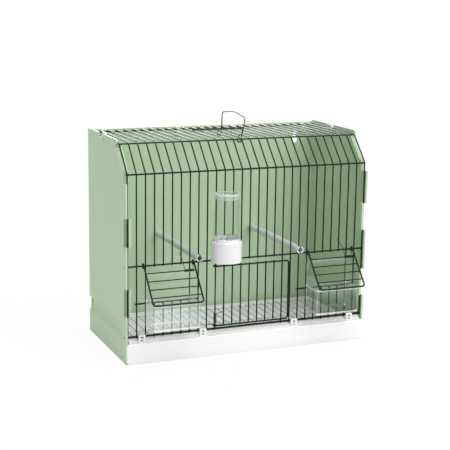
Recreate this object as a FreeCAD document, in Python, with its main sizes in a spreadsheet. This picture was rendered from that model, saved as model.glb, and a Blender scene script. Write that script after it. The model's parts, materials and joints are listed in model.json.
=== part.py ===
"""A bird show cage: green side and back panels, a black wire front and top with a slope
between them, a sprung door, two sprung feeder flaps, a drinker, two perches, a carrying
handle, and a white droppings drawer with a wire floor.

Millimetres. The origin is at the centre of the underside, +Z is up and the front faces -Y.
"""
import FreeCAD, Part
import math
import os
from types import SimpleNamespace
from FreeCAD import Placement, Rotation, Vector

# Driving dimensions
DRIVING = (
    ("cage_depth", 174.0, "front edge of the side panels to the outer face of the back"),
    ("panel_wall", 2.4, "thickness of the green panels"),
    ("rim_above_top", 4.0, "panel edge above the axis of the top wires"),
    ("wire_pitch", 12.6, "spacing of the upright wires"),
    ("wire_diameter", 2.0, "upright, slope and top wires"),
    ("wire_inset", 4.0, "front edge of the panels to the plane of the front wires"),
    ("outer_wire_gap", 0.2, "outermost wire to the panel beside it"),
    ("rail_diameter", 2.4, "cross rails welded behind the wires"),
    ("bottom_rail_diameter", 3.0, "lowest cross rail"),
    ("weld_bite", 0.04, "how far crossing wires sink into each other at a weld"),
    ("wire_overhang", 1.5, "wire end past the axis of the rail it is welded to"),
    ("bottom_rail_height", 36.2, "axis of the lowest rail"),
    ("feeder_rail_height", 81.8, "axis of the short rails under the feeder openings"),
    ("mid_rail_height", 133.5, "axis of the rail that carries the flaps and perches"),
    ("bend_height", 258.4, "where the front wires bend into the slope"),
    ("slope_run", 35.6, "slope measured backwards"),
    ("slope_rise", 37.6, "slope measured upwards"),
    ("rail_hole_gap", 0.1, "rail end to the side of its hole in the panel"),
    ("groove_low", 31.0, "lower edge of the stiffening groove"),
    ("groove_mouth", 22.0, "groove height at the outer face"),
    ("groove_lower_slope", 8.0, "rise of the groove's lower flank"),
    ("groove_upper_slope", 5.5, "drop of the groove's upper flank"),
    ("groove_depth", 4.0, "how far the groove is pressed in"),
    ("groove_front", 12.0, "plane of the front wires to the front end of the groove"),
    ("finger_gap", 0.4, "inner panel finger to the outermost wire"),
    ("finger_root", 6.0, "plane of the wires to the step of an inner finger"),
    ("finger_setback", 3.6, "edge of the fingers at bend and slope behind the axis of the wires"),
    ("finger_step", 6.0, "width of the step of an inner finger"),
    ("finger_height", 39.0, "the two inner fingers of the upright edge"),
    ("lower_finger_drop", 68.5, "lower end of the lower finger below the mid rail"),
    ("upper_finger_rise", 27.5, "lower end of the upper finger above the mid rail"),
    ("bend_finger_drop", 12.4, "inner finger at the bend, below it"),
    ("bend_finger_rise", 3.6, "inner finger at the bend, above it"),
    ("top_finger_back", 100.0, "plane of the front wires to the finger in the top edge"),
    ("top_finger_length", 18.0, "finger in the top edge"),
    ("top_finger_root", 1.5, "top wires to the step of the finger in the top edge"),
    ("corner_slot_back", 96.0, "plane of the front wires to the small slot below the top edge"),
    ("corner_slot_drop", 10.5, "lower end of the small slot below the top of the panel"),
    ("corner_slot_width", 2.4, "small slot"),
    ("corner_slot_height", 5.0, "small slot"),
    ("back_drop", 2.2, "top of the back panel below the top of the side panels"),
    ("slope_lip", 1.2, "panel edge beyond the slope wires"),
    ("panel_fit", 0.1, "between panels that are slotted together"),
    ("rib_width", 3.5, "upright rib that the back panel rests on"),
    ("rib_low", 60.0, "lower end of that rib"),
    ("rib_drop", 20.0, "upper end of that rib below the top of the panel"),
    ("keyhole_spacing", 294.0, "between the two hanging keyholes"),
    ("keyhole_drop", 28.0, "keyhole centre below the top of the back panel"),
    ("keyhole_diameter", 10.6, "round part of a keyhole"),
    ("keyhole_slot_width", 5.0, "narrow part of a keyhole"),
    ("keyhole_slot_rise", 11.0, "keyhole centre to the centre of the slot's end"),
    ("rear_rail_inset", 5.0, "axis of the rear rail to the outer face of the back"),
    ("rear_wire_end", 3.6, "ends of the top wires to the outer face of the back"),
    ("tab_width", 8.0, "tabs of the back panel that hold the rear rail"),
    ("tab_reach", 2.2, "tab in front of the axis of the rear rail"),
    ("tab_drop", 16.0, "lower end of a tab below the top of the back panel"),
    ("pan_thickness", 1.6, "base pan and its flanges"),
    ("pan_flange", 10.0, "top of the base pan's side flanges"),
    ("pan_front", 7.0, "front edge of the panels to the front edge of the base pan"),
    ("stud_diameter", 4.0, "snap studs between base pan and side panels"),
    ("stud_height", 6.0, "axis of the snap studs"),
    ("stud_front", 18.0, "front edge of the panels to the front studs"),
    ("stud_back", 24.0, "outer face of the back to the rear studs"),
    ("stud_recess", 0.9, "end of a snap stud below the outer face of the side panel"),
    ("stud_gap", 0.2, "snap stud to the side of its hole"),
    ("slide_gap", 0.4, "drawer to the base pan below and beside it"),
    ("drawer_wall", 2.0, "walls and floor of the drawer"),
    ("drawer_front_thickness", 4.0, "front plate of the drawer"),
    ("drawer_front_gap", 0.6, "drawer front to the edges of the side panels"),
    ("drawer_front_low", 0.6, "drawer front above the table"),
    ("drawer_corner", 4.5, "corners of the drawer front"),
    ("drawer_edge", 1.5, "rounded edge all round the drawer front"),
    ("drawer_front_drop", 5.2, "top of the front plate below the bottom rail"),
    ("drawer_ledge_gap", 0.5, "drawer ledge below the bottom rail"),
    ("drawer_ledge_depth", 9.0, "ledge behind the front plate"),
    ("drawer_back_gap", 8.0, "drawer to the inner face of the back panel"),
    ("drawer_rim", 2.0, "drawer walls above the axis of the floor wires"),
    ("clip_width", 9.4, "clips of the drawer over the bottom rail"),
    ("clip_thickness", 2.6, "clips of the drawer"),
    ("clip_rise", 3.8, "clip above the axis of the bottom rail"),
    ("clip_window_width", 4.0, "window in a clip"),
    ("clip_window_height", 3.0, "window in a clip"),
    ("clip_slot_drop", 5.0, "lower slot of a clip below the axis of the bottom rail"),
    ("clip_slot_height", 2.0, "lower slot of a clip"),
    ("clip_gap", 1.2, "clip to the front wires"),
    ("floor_wire_diameter", 1.6, "wires of the floor grille"),
    ("floor_wire_height", 20.0, "axis of the floor wires"),
    ("floor_wire_inset", 5.0, "ends of the floor wires to the drawer's inner walls"),
    ("floor_ledge", 9.0, "depth of the drawer's ledges under the grille"),
    ("seat_gap", 0.04, "between a piece and the seat that it lies on"),
    ("perch_diameter", 10.0, "perch tubes"),
    ("perch_bore", 7.0, "perch tubes"),
    ("perch_lead", 6.0, "perch end in front of the wires"),
    ("perch_slot_gap", 0.2, "perch slot to the wire in it"),
    ("perch_back_gap", 0.2, "perch end to the back panel"),
    ("peg_gap", 0.3, "perch bore to the peg of the back panel"),
    ("peg_length", 12.0, "pegs of the back panel"),
    ("feeder_overlap", 0.5, "feeder beyond the opening's wires, each side"),
    ("feeder_low", 52.0, "underside of the feeders"),
    ("feeder_depth", 35.2, "feeder, front to back"),
    ("feeder_wall", 1.5, "walls of the clear feeders"),
    ("feeder_wire_gap", 0.8, "feeder to the front wires"),
    ("feeder_lip", 3.4, "outward lip under the flap"),
    ("feeder_tongue", 5.5, "tongue behind the plane of the front wires"),
    ("feeder_hook", 2.6, "hook of the tongue behind the feeder rail"),
    ("wing_drop", 11.5, "top of the feeder's side wings below the mid rail"),
    ("wing_bar", 6.0, "height of the bar between the side wings"),
    ("bent_wire_diameter", 2.4, "door and flap frames"),
    ("eye_gap", 0.25, "hinge eye to the wire in it"),
    ("eye_sweep", 250.0, "degrees that a hinge eye goes round"),
    ("corner_radius", 4.0, "bends of the door and flap frames"),
    ("door_top_gap", 7.8, "top bar of the door below the mid rail"),
    ("door_bottom_gap", 5.3, "bottom bar of the door above the bottom rail"),
    ("door_overlap", 9.1, "door beyond the wire that stops it"),
    ("flap_angle", 41.0, "degrees that a flap hangs open on its feeder"),
    ("flap_length", 61.5, "flap hinge to its bottom bar"),
    ("left_flap_low", 2.5, "left leg of the left flap left of its opening's first wire"),
    ("left_flap_high", 5.8, "right leg of the left flap right of its opening's last wire"),
    ("right_flap_low", -2.4, "left leg of the right flap left of its opening's first wire"),
    ("right_flap_high", 10.1, "right leg of the right flap right of its opening's last wire"),
    ("flap_wire_diameter", 1.6, "cross wires of a flap"),
    ("flap_rest_gap", 0.3, "flap to the feeder lip it rests on"),
    ("spring_wire", 0.8, "wire of the three springs"),
    ("spring_gap", 0.45, "inside of a spring to the wire in it"),
    ("spring_pitch", 1.4, "rise of each turn"),
    ("spring_leg_gap", 0.1, "spring leg to the wire it bears on"),
    ("door_spring_rise", 3.4, "first turn above the bottom bar of the door"),
    ("door_leg_fixed", 13.6, "spring leg to the wire left of the hinge"),
    ("door_leg_moving", 14.0, "spring leg to the first door wire"),
    ("flap_leg_rise", 17.0, "end of a flap spring's leg above the mid rail"),
    ("flap_leg_knee", 0.5, "share of a flap spring's long leg below its bend"),
    ("flap_leg_past", 0.3, "end of a flap spring's leg past the wire it bears on"),
    ("flap_leg_moving", 9.5, "leg of a flap spring on the flap"),
    ("flap_spring_inset", 1.2, "flap spring to the right leg of the flap"),
    ("drinker_diameter", 42.0, "cup of the drinker"),
    ("drinker_height", 29.5, "cup of the drinker"),
    ("drinker_wire_gap", 0.3, "cup to the front wires"),
    ("drinker_rise", 4.0, "underside of the cup above the axis of the mid rail"),
    ("drinker_floor", 2.5, "bottom of the cup"),
    ("drinker_round", 3.2, "rounded lower edge of the cup"),
    ("tube_fit", 0.3, "tube to the bore of the cup"),
    ("tube_diameter", 38.0, "lower end of the clear tube"),
    ("tube_top_diameter", 33.5, "upper end of the clear tube"),
    ("tube_wall", 1.3, "clear tube"),
    ("tube_height", 91.0, "clear tube"),
    ("spout_side_gap", 0.6, "spout to the wires beside it"),
    ("spout_wall", 1.4, "walls of the spout"),
    ("spout_reach", 15.0, "spout behind the plane of the front wires"),
    ("spout_rise", 14.5, "rim of the spout above the underside of the cup"),
    ("spout_rail_gap", 0.1, "spout to the mid rail under it"),
    ("handle_wire_diameter", 1.8, "wire of the handle"),
    ("handle_lean", 4.5, "degrees that the handle leans to the right on its hooks"),
    ("handle_hook_radius", 2.8, "bends of the handle's hooks round the middle wire"),
    ("handle_play", 3.5, "how far the handle lifts before its hooks bear"),
    ("handle_front_gap", 1.9, "front hook of the handle behind the top front rail"),
    ("handle_rear_gap", 3.9, "rear hook of the handle before the handle's rear bar"),
    ("handle_front_splay", 7.6, "front corner of the handle before its hook"),
    ("handle_rear_splay", 2.4, "rear corner of the handle behind its hook"),
    ("handle_knee", 3.0, "where the legs of the handle start to splay, above the top wires"),
    ("handle_knee_bend", 9.0, "bends where the legs of the handle start to splay"),
    ("handle_bar_back", 120.0, "plane of the front wires to the handle's rear bar"),
    ("handle_bar_overhang", 2.0, "rear bar beyond its outer wires"),
    ("handle_rise", 27.5, "corners of the handle above the top wires"),
    ("handle_crown", 5.0, "middle of the handle above its corners"),
    ("handle_corner", 6.0, "bends at the corners of the handle"),
    ("handle_crown_bend", 60.0, "bend at the middle of the handle"),
)

# Wires are numbered from the left
LAST_WIRE = 28
DOOR_HINGE_WIRE = 10
DOOR_STOP_WIRE = 18
PERCH_WIRES = (8, 20)
FEEDER_WIRES = ((2, 7), (21, 26))
HANDLE_BAR_WIRES = (11, 17)
CLIP_PLACES = (1.5, 8.5, 19.5, 26.5)
TAB_PLACES = (1.5, 10.5, 17.5, 26.5)
DRINKER_PLACE = 10.5
FLAP_CROSS_WIRES = 4
CYLINDER_LOW_EDGE = (3,)
BOX_EDGES_ALONG_Y = (2, 4, 6, 8)
DOOR_SPRING_TURNS = 10
FLAP_SPRING_TURNS = 9

doc = FreeCAD.newDocument("bird_show_cage")
sheet = doc.addObject("Spreadsheet::Sheet", "sizes")


class Size:
    """A length with its value and the expression that gives it from the sheet."""

    def __init__(self, value, text):
        self.value = value
        self.text = text

    def __float__(self):
        return float(self.value)

    def __add__(self, other):
        return join(self, "+", other, self.value + float(other))

    def __radd__(self, other):
        return join(other, "+", self, other + self.value)

    def __sub__(self, other):
        return join(self, "-", other, self.value - float(other))

    def __rsub__(self, other):
        return join(other, "-", self, other - self.value)

    def __mul__(self, other):
        return join(self, "*", other, self.value * float(other))

    def __rmul__(self, other):
        return join(other, "*", self, other * self.value)

    def __truediv__(self, other):
        return join(self, "/", other, self.value / float(other))

    def __neg__(self):
        return Size(-self.value, f"(0 - {self.text})")


def text_of(value):
    return value.text if isinstance(value, Size) else f"({float(value):.9f})"


def join(left, sign, right, value):
    return Size(value, f"({text_of(left)} {sign} {text_of(right)})")


def fill_sheet():
    """Write the driving dimensions into the sheet and give each back as a Size."""
    found = {}
    for row, (alias, value, meaning) in enumerate(DRIVING, 1):
        sheet.set(f"A{row}", alias)
        sheet.set(f"B{row}", str(value))
        sheet.setAlias(f"B{row}", alias)
        sheet.set(f"C{row}", meaning)
        found[alias] = Size(value, f"sizes.{alias}")
    doc.recompute()
    return SimpleNamespace(**found)


dim = fill_sheet()


# Builders of bound objects
def bind(obj, prop, value):
    obj.setExpression(prop, text_of(value))


def bind_base(obj, x, y, z):
    for axis, value in (("x", x), ("y", y), ("z", z)):
        bind(obj, f"Placement.Base.{axis}", value)


def turned_box(name, x, inward, along, origin, angle):
    """A box beside a wire that runs through origin (y, z), leaning back by angle degrees."""
    obj = doc.addObject("Part::Box", name)
    for prop, (low, high) in (("Length", x), ("Width", inward), ("Height", along)):
        bind(obj, prop, high - low)
    obj.Placement = Placement(Vector(), Rotation(Vector(1, 0, 0), -angle))
    cosine = math.cos(math.radians(angle))
    sine = math.sin(math.radians(angle))
    y = origin[0] + inward[0] * cosine + along[0] * sine
    z = origin[1] - inward[0] * sine + along[0] * cosine
    bind_base(obj, x[0], y, z)
    return obj


def box(name, x, y, z):
    obj = doc.addObject("Part::Box", name)
    for prop, (low, high) in (("Length", x), ("Width", y), ("Height", z)):
        bind(obj, prop, high - low)
    bind_base(obj, x[0], y[0], z[0])
    return obj


def rod(name, start, direction, length, radius):
    """A straight round rod."""
    obj = doc.addObject("Part::Cylinder", name)
    obj.Placement = Placement(Vector(), Rotation(Vector(0, 0, 1), Vector(*direction)))
    bind(obj, "Radius", radius)
    bind(obj, "Height", length)
    bind_base(obj, *start)
    return obj


def rounded(name, base, edges, radius):
    """A piece with some of its edges rounded, which are given by their numbers in its shape."""
    obj = doc.addObject("Part::Fillet", name)
    obj.Base = base
    obj.Edges = [(edge, float(radius), float(radius)) for edge in edges]
    return obj


def edges_at_front(base):
    """Numbers of the edges that lie in the foremost plane of a piece."""
    doc.recompute()
    front = base.Shape.BoundBox.YMin
    return [number for number, edge in enumerate(base.Shape.Edges, 1)
            if abs(edge.BoundBox.YMax - front) < 1e-6]


def cone(name, start, low_radius, high_radius, height):
    obj = doc.addObject("Part::Cone", name)
    bind(obj, "Radius1", low_radius)
    bind(obj, "Radius2", high_radius)
    bind(obj, "Height", height)
    bind_base(obj, *start)
    return obj


def wedge(name, turn, across, base, base_z, tip, tip_z):
    """A bar along local X whose section narrows in Z from base to tip along local Y."""
    obj = doc.addObject("Part::Wedge", name)
    limits = {
        "Xmin": across[0], "Xmax": across[1], "X2min": across[0], "X2max": across[1],
        "Ymin": base, "Ymax": tip,
        "Zmin": base_z[0], "Zmax": base_z[1], "Z2min": tip_z[0], "Z2max": tip_z[1],
    }
    for prop, value in limits.items():
        bind(obj, prop, value)
    obj.Placement = Placement(Vector(), Rotation(Vector(0, 0, 1), turn))
    return obj


def fuse(name, pieces):
    obj = doc.addObject("Part::MultiFuse", name)
    obj.Shapes = pieces
    obj.Refine = True
    return obj


def cut(name, base, tools):
    obj = doc.addObject("Part::Cut", name)
    obj.Base = base
    obj.Tool = tools[0] if len(tools) == 1 else fuse(f"{name}_cuts", tools)
    return obj


def group(name, pieces):
    obj = doc.addObject("Part::Compound", name)
    obj.Links = pieces
    return obj


# Builders of bent wires
def line(start, end):
    return Part.LineSegment(start, end).toShape()


def arc(start, middle, end):
    return Part.Arc(start, middle, end).toShape()


def tube(edges, diameter):
    """A round wire along edges that run on smoothly from one to the next."""
    path = Part.Wire(edges)
    first = edges[0]
    start = first.valueAt(first.FirstParameter)
    tangent = first.tangentAt(first.FirstParameter)
    section = Part.Wire(Part.Circle(start, tangent, float(diameter) / 2).toShape())
    solid = path.makePipeShell([section], True, False)
    expected = math.pi * float(diameter) ** 2 / 4 * path.Length
    print(f"wire of {path.Length:.1f} mm, volume {solid.Volume / expected:.4f} of its section's")
    return solid


def bent(points, radii):
    """Straight runs through points, with a tangent arc of the given radius at each corner."""
    edges = []
    last = points[0]
    for before, corner, after, radius in zip(points, points[1:], points[2:], radii):
        back = (before - corner).normalize()
        ahead = (after - corner).normalize()
        half = math.acos(back.dot(ahead)) / 2
        reach = radius / math.tan(half)
        middle = (back + ahead).normalize() * (radius / math.sin(half) - radius)
        edges.append(line(last, corner + back * reach))
        edges.append(arc(corner + back * reach, corner + middle, corner + ahead * reach))
        last = corner + ahead * reach
    edges.append(line(last, points[-1]))
    return edges


def ring_arc(centre, first, second, radius, start, end):
    """Part of a circle in the plane of two unit vectors, from one angle to another."""
    def place(angle):
        return centre + first * (radius * math.cos(angle)) + second * (radius * math.sin(angle))
    return arc(place(start), place((start + end) / 2), place(end))


def biarc(start, start_way, end, end_way):
    """Two arcs that join two points and keep the direction of travel at both."""
    chord = end - start
    along = chord.dot(start_way + end_way)
    bend = 2 * (1 - start_way.dot(end_way))
    reach = (math.sqrt(along ** 2 + bend * chord.dot(chord)) - along) / bend
    corners = (start + start_way * reach, end - end_way * reach)
    joint = (corners[0] + corners[1]) / 2
    edges = []
    for low, corner, high in ((start, corners[0], joint), (joint, corners[1], end)):
        weight = (corner - low).normalize().dot((high - low).normalize())
        edges.append(arc(low, (low + corner * (2 * weight) + high) / (2 + 2 * weight), high))
    return edges


def spring(name, centre, axis, first, radius, start, sweep, legs, knee=None):
    """A torsion spring: a helix about axis from angle start, with a straight leg at each end.
    A knee, given as a share of the first leg and a step along axis, bends that leg aside."""
    second = axis.cross(first)
    rise = float(dim.spring_pitch) / (2 * math.pi)

    def place(angle):
        round_axis = first * math.cos(angle) + second * math.sin(angle)
        return centre + round_axis * radius + axis * (rise * (angle - start))

    def travel(angle):
        way = second * math.cos(angle) - first * math.sin(angle)
        return (way * radius + axis * rise).normalize()

    count = math.ceil(sweep / (math.pi / 2))
    angles = [start + sweep * step / count for step in range(count + 1)]
    turns = []
    for low, high in zip(angles, angles[1:]):
        turns += biarc(place(low), travel(low), place(high), travel(high))
    entry = place(angles[0])
    leave = place(angles[-1])
    end = entry - travel(angles[0]) * legs[0]
    lead = [line(end, entry)]
    if knee:
        share, step = knee
        bend = entry + (end - entry) * share
        lead = bent([end + axis * step, bend, entry], [float(dim.corner_radius)])
    tail = line(leave, leave + travel(angles[-1]) * legs[1])
    points = [edge.valueAt(edge.FirstParameter) for edge in turns]
    gap = min(
        low.distanceToPoint(high)
        for place_in_row, low in enumerate(points)
        for high in points[place_in_row + 5:]
    )
    print(f"{name}: least gap between turns {gap - float(dim.spring_wire):.2f} mm")
    return tube(lead + turns + [tail], dim.spring_wire)


nodes = []


def node(obj):
    nodes.append(obj)
    return obj


def shape_node(name, shape):
    obj = doc.addObject("Part::Feature", name)
    obj.Shape = shape
    return node(obj)


# Places that several pieces share
wire_radius = dim.wire_diameter / 2
rail_radius = dim.rail_diameter / 2
bottom_rail_radius = dim.bottom_rail_diameter / 2
bent_radius = dim.bent_wire_diameter / 2
middle_wire = LAST_WIRE / 2
outer_face = dim.wire_pitch * middle_wire + wire_radius + dim.outer_wire_gap + dim.panel_wall
inner_face = outer_face - dim.panel_wall
front_edge = -dim.cage_depth / 2
back_face = dim.cage_depth / 2
back_inner = back_face - dim.panel_wall
wire_plane = front_edge + dim.wire_inset
rail_plane = wire_plane + wire_radius + rail_radius - dim.weld_bite
bottom_rail_plane = wire_plane + wire_radius + bottom_rail_radius - dim.weld_bite
top_height = dim.bend_height + dim.slope_rise
panel_height = top_height + dim.rim_above_top
slope_angle = math.degrees(math.atan2(float(dim.slope_run), float(dim.slope_rise)))
slope_length = math.hypot(float(dim.slope_run), float(dim.slope_rise))
slope_back = wire_plane + dim.slope_run
rail_drop = wire_radius + rail_radius - dim.weld_bite
rear_rail_plane = back_face - dim.rear_rail_inset
finger_inner = outer_face - dim.panel_wall * 2 - dim.wire_diameter - dim.outer_wire_gap - dim.finger_gap
perch_height = dim.mid_rail_height + rail_radius + dim.seat_gap + dim.perch_diameter / 2


def wire_x(place):
    return dim.wire_pitch * (place - middle_wire)


def groove_bar(name, span, face):
    """A bar with the section of the stiffening groove, from a face of the left panel inwards."""
    mouth = (dim.groove_low, dim.groove_low + dim.groove_mouth)
    flat = (mouth[0] + dim.groove_lower_slope, mouth[1] - dim.groove_upper_slope)
    return wedge(name, -90, span, face, mouth, face + dim.groove_depth, flat)


# Side panels
def side_panel():
    """The left panel: a wall with a pressed groove, and a front edge that is woven past the
    outermost wire, with fingers that step inside it."""
    wall_x = (-outer_face, -inner_face)
    finger_x = (-(finger_inner + dim.panel_wall), -finger_inner)
    step_x = (-inner_face, -finger_inner)
    solids = [box("panel_wall_sheet", wall_x, (front_edge, back_face), (0, panel_height))]
    cuts = []

    def finger(name, origin, angle, lip, span, setback=None, root=dim.finger_root):
        """Cuts the wall back to root. The finger's edge is flush with the wall's, or set back."""
        edge = -lip if setback is None else setback
        step = (root, root + dim.finger_step)
        cuts.append(turned_box(f"{name}_gap", wall_x, (-lip, root), span, origin, angle))
        solids.append(turned_box(f"{name}_leaf", finger_x, (edge, step[1]), span, origin, angle))
        solids.append(turned_box(f"{name}_step", step_x, step, span, origin, angle))

    upright = (wire_plane, 0)
    bend = (wire_plane, dim.bend_height)
    top = (wire_plane, top_height)
    lower = dim.mid_rail_height - dim.lower_finger_drop
    upper = dim.mid_rail_height + dim.upper_finger_rise
    bend_span = (-dim.bend_finger_drop, dim.bend_finger_rise)
    top_span = (dim.top_finger_back, dim.top_finger_back + dim.top_finger_length)
    finger("finger_lower", upright, 0, dim.wire_inset, (lower, lower + dim.finger_height))
    finger("finger_upper", upright, 0, dim.wire_inset, (upper, upper + dim.finger_height))
    finger("finger_bend", bend, 0, dim.wire_inset, bend_span, dim.finger_setback)
    finger("finger_slope", bend, slope_angle, dim.slope_lip, (0, slope_length), dim.finger_setback)
    finger("finger_top", top, 90, dim.rim_above_top, top_span, root=dim.top_finger_root)
    slot_y = wire_plane + dim.corner_slot_back
    slot_z = panel_height - dim.corner_slot_drop
    slot_span = ((slot_y, slot_y + dim.corner_slot_width), (slot_z, slot_z + dim.corner_slot_height))
    cuts.append(box("corner_slot", wall_x, *slot_span))

    groove_start = wire_plane + dim.groove_front
    bead_span = (-(back_inner - dim.panel_fit), -groove_start)
    groove_span = (-back_face, -(groove_start + dim.panel_wall))
    solids.append(groove_bar("side_bead", bead_span, -inner_face))
    cuts.append(groove_bar("side_groove", groove_span, -outer_face))

    rib_back = back_inner - dim.panel_fit
    rib_x = (-inner_face, -inner_face + dim.rib_width)
    rib_z = (dim.rib_low, panel_height - dim.rib_drop)
    solids.append(box("side_rib", rib_x, (rib_back - dim.panel_wall, rib_back), rib_z))

    corner_reach = dim.slope_run + dim.slope_rise
    corner_x = (-outer_face, -finger_inner)
    corner_out = (-corner_reach, -dim.slope_lip)
    corner_span = (-corner_reach, corner_reach + dim.slope_run)
    cuts.append(turned_box("slope_corner", corner_x, corner_out, corner_span, bend, slope_angle))

    holes = (
        ("bottom", bottom_rail_plane, dim.bottom_rail_height, bottom_rail_radius + dim.rail_hole_gap),
        ("mid", rail_plane, dim.mid_rail_height, rail_radius + dim.rail_hole_gap),
        ("front_stud", front_edge + dim.stud_front, dim.stud_height, dim.stud_diameter / 2 + dim.stud_gap),
        ("rear_stud", back_face - dim.stud_back, dim.stud_height, dim.stud_diameter / 2 + dim.stud_gap),
    )
    for name, y, z, radius in holes:
        cuts.append(rod(f"{name}_hole", (-outer_face, y, z), (1, 0, 0), dim.panel_wall, radius))
    return cut("left_side_panel", fuse("left_panel_sheet", solids), cuts)


left_panel = node(side_panel())
right_panel = doc.addObject("Part::Mirroring", "right_side_panel")
right_panel.Source = left_panel
right_panel.Normal = Vector(1, 0, 0)
node(right_panel)


# Back panel
def back_panel():
    """A plain sheet between the side panels, with two keyholes to hang the cage by, pegs for the
    perches and tabs round the rear rail."""
    half = inner_face - dim.panel_fit
    span = (-half, half)
    back_top = panel_height - dim.back_drop
    solids = [box("back_sheet", span, (back_inner, back_face), (0, back_top))]
    cuts = []

    key_z = panel_height - dim.keyhole_drop
    for side in (-1, 1):
        key_x = dim.keyhole_spacing * side / 2
        slot_half = dim.keyhole_slot_width / 2
        slot_end = key_z + dim.keyhole_slot_rise
        name = f"keyhole_{'left' if side < 0 else 'right'}"
        start = (key_x, back_inner, key_z)
        cuts.append(rod(name, start, (0, 1, 0), dim.panel_wall, dim.keyhole_diameter / 2))
        slot_x = (key_x - slot_half, key_x + slot_half)
        cuts.append(box(f"{name}_slot", slot_x, (back_inner, back_face), (key_z, slot_end)))
        start = (key_x, back_inner, slot_end)
        cuts.append(rod(f"{name}_end", start, (0, 1, 0), dim.panel_wall, slot_half))

    peg_radius = dim.perch_bore / 2 - dim.peg_gap
    for wire in PERCH_WIRES:
        start = (wire_x(wire), back_inner - dim.peg_length, perch_height)
        solids.append(rod(f"peg_{wire}", start, (0, 1, 0), dim.peg_length, peg_radius))

    rail_z = top_height - rail_drop
    slot = rail_radius + dim.seat_gap
    for place in TAB_PLACES:
        name = f"tab_{place:g}".replace(".", "_")
        low_x = wire_x(place) - dim.tab_width / 2
        tab_x = (low_x, low_x + dim.tab_width)
        tab_front = rear_rail_plane - dim.tab_reach
        tab_z = (panel_height - dim.tab_drop, back_top)
        solids.append(box(name, tab_x, (tab_front, back_inner), tab_z))
        start = (low_x, rear_rail_plane, rail_z)
        cuts.append(rod(f"{name}_seat", start, (1, 0, 0), dim.tab_width, slot))
        mouth = (tab_front, rear_rail_plane)
        cuts.append(box(f"{name}_mouth", tab_x, mouth, (rail_z - slot, rail_z + slot)))
    return cut("back_panel", fuse("back_panel_sheet", solids), cuts)


node(back_panel())


# Base pan
def base_pan():
    """A shallow pan under the drawer, with flanges whose studs snap into the side panels."""
    half = inner_face - dim.panel_fit
    pan_y = (front_edge + dim.pan_front, back_inner - dim.panel_fit)
    solids = [box("pan_sheet", (-half, half), pan_y, (0, dim.pan_thickness))]
    for side, name in ((-1, "left"), (1, "right")):
        edges = (half * side, (half - dim.pan_thickness) * side)
        flange_x = edges if side < 0 else edges[::-1]
        solids.append(box(f"pan_flange_{name}", flange_x, pan_y, (0, dim.pan_flange)))
        studs = (front_edge + dim.stud_front, back_face - dim.stud_back)
        for place, stud_y in zip(("front", "rear"), studs):
            start = (edges[1], stud_y, dim.stud_height)
            length = outer_face - half + dim.pan_thickness - dim.stud_recess
            radius = dim.stud_diameter / 2
            solids.append(rod(f"stud_{name}_{place}", start, (side, 0, 0), length, radius))
    return fuse("base_pan", solids)


node(base_pan())

# Wire front and top
door_cut = range(DOOR_HINGE_WIRE + 1, DOOR_STOP_WIRE)
feeder_cut = [wire for low, high in FEEDER_WIRES for wire in range(low + 1, high)]
bend_trim = math.tan(math.radians(slope_angle / 2))
foot = dim.bottom_rail_height - dim.wire_overhang
mid_foot = dim.mid_rail_height - dim.wire_overhang
slope_way = (0, math.sin(math.radians(slope_angle)), math.cos(math.radians(slope_angle)))
top_trim = math.tan(math.radians((90 - slope_angle) / 2))


def upright(wire):
    low = mid_foot if wire in door_cut or wire in feeder_cut else foot
    length = dim.bend_height - wire_radius * bend_trim - low
    return rod(f"upright_{wire}", (wire_x(wire), wire_plane, low), (0, 0, 1), length, wire_radius)


def slope_wire(wire):
    trim = wire_radius * bend_trim
    y = wire_plane + trim * slope_way[1]
    z = dim.bend_height + trim * slope_way[2]
    length = slope_length - trim - wire_radius * top_trim
    return rod(f"slope_{wire}", (wire_x(wire), y, z), slope_way, length, wire_radius)


def top_wire(wire):
    start = slope_back + wire_radius * top_trim
    length = back_face - dim.rear_wire_end - start
    return rod(f"top_{wire}", (wire_x(wire), start, top_height), (0, 1, 0), length, wire_radius)


def short_wire(wire):
    length = dim.feeder_rail_height + rail_radius / 2 - foot
    return rod(f"short_{wire}", (wire_x(wire), wire_plane, foot), (0, 0, 1), length, wire_radius)


every_wire = range(LAST_WIRE + 1)
node(group("front_wires", [upright(wire) for wire in every_wire]))
node(group("slope_wires", [slope_wire(wire) for wire in every_wire]))
node(group("top_wires", [top_wire(wire) for wire in every_wire]))
node(group("feeder_short_wires", [short_wire(wire) for wire in feeder_cut]))


def rail(name, low_x, high_x, y, z, radius):
    return node(rod(name, (low_x, y, z), (1, 0, 0), high_x - low_x, radius))


bend_rail_z = dim.bend_height - rail_drop * bend_trim
top_rail_y = slope_back + rail_drop * top_trim
wire_side = inner_face - dim.outer_wire_gap
rear_half = inner_face - dim.panel_fit
rail("bottom_rail", -outer_face, outer_face, bottom_rail_plane, dim.bottom_rail_height, bottom_rail_radius)
rail("mid_rail", -outer_face, outer_face, rail_plane, dim.mid_rail_height, rail_radius)
rail("bend_rail", -wire_side, wire_side, rail_plane, bend_rail_z, rail_radius)
rail("top_front_rail", -wire_side, wire_side, top_rail_y, top_height - rail_drop, rail_radius)
rail("rear_rail", -rear_half, rear_half, rear_rail_plane, top_height - rail_drop, rail_radius)
for side_name, (low_wire, high_wire) in zip(("left", "right"), FEEDER_WIRES):
    low_end = wire_x(low_wire - 1) - dim.wire_overhang
    high_end = wire_x(high_wire + 1) + dim.wire_overhang
    rail(f"{side_name}_feeder_rail", low_end, high_end, rail_plane, dim.feeder_rail_height, rail_radius)
bar_low = wire_x(HANDLE_BAR_WIRES[0]) - dim.handle_bar_overhang
bar_high = wire_x(HANDLE_BAR_WIRES[1]) + dim.handle_bar_overhang
handle_bar_y = wire_plane + dim.handle_bar_back
handle_bar_z = top_height + rail_drop
rail("handle_bar", bar_low, bar_high, handle_bar_y, handle_bar_z, rail_radius)


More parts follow.
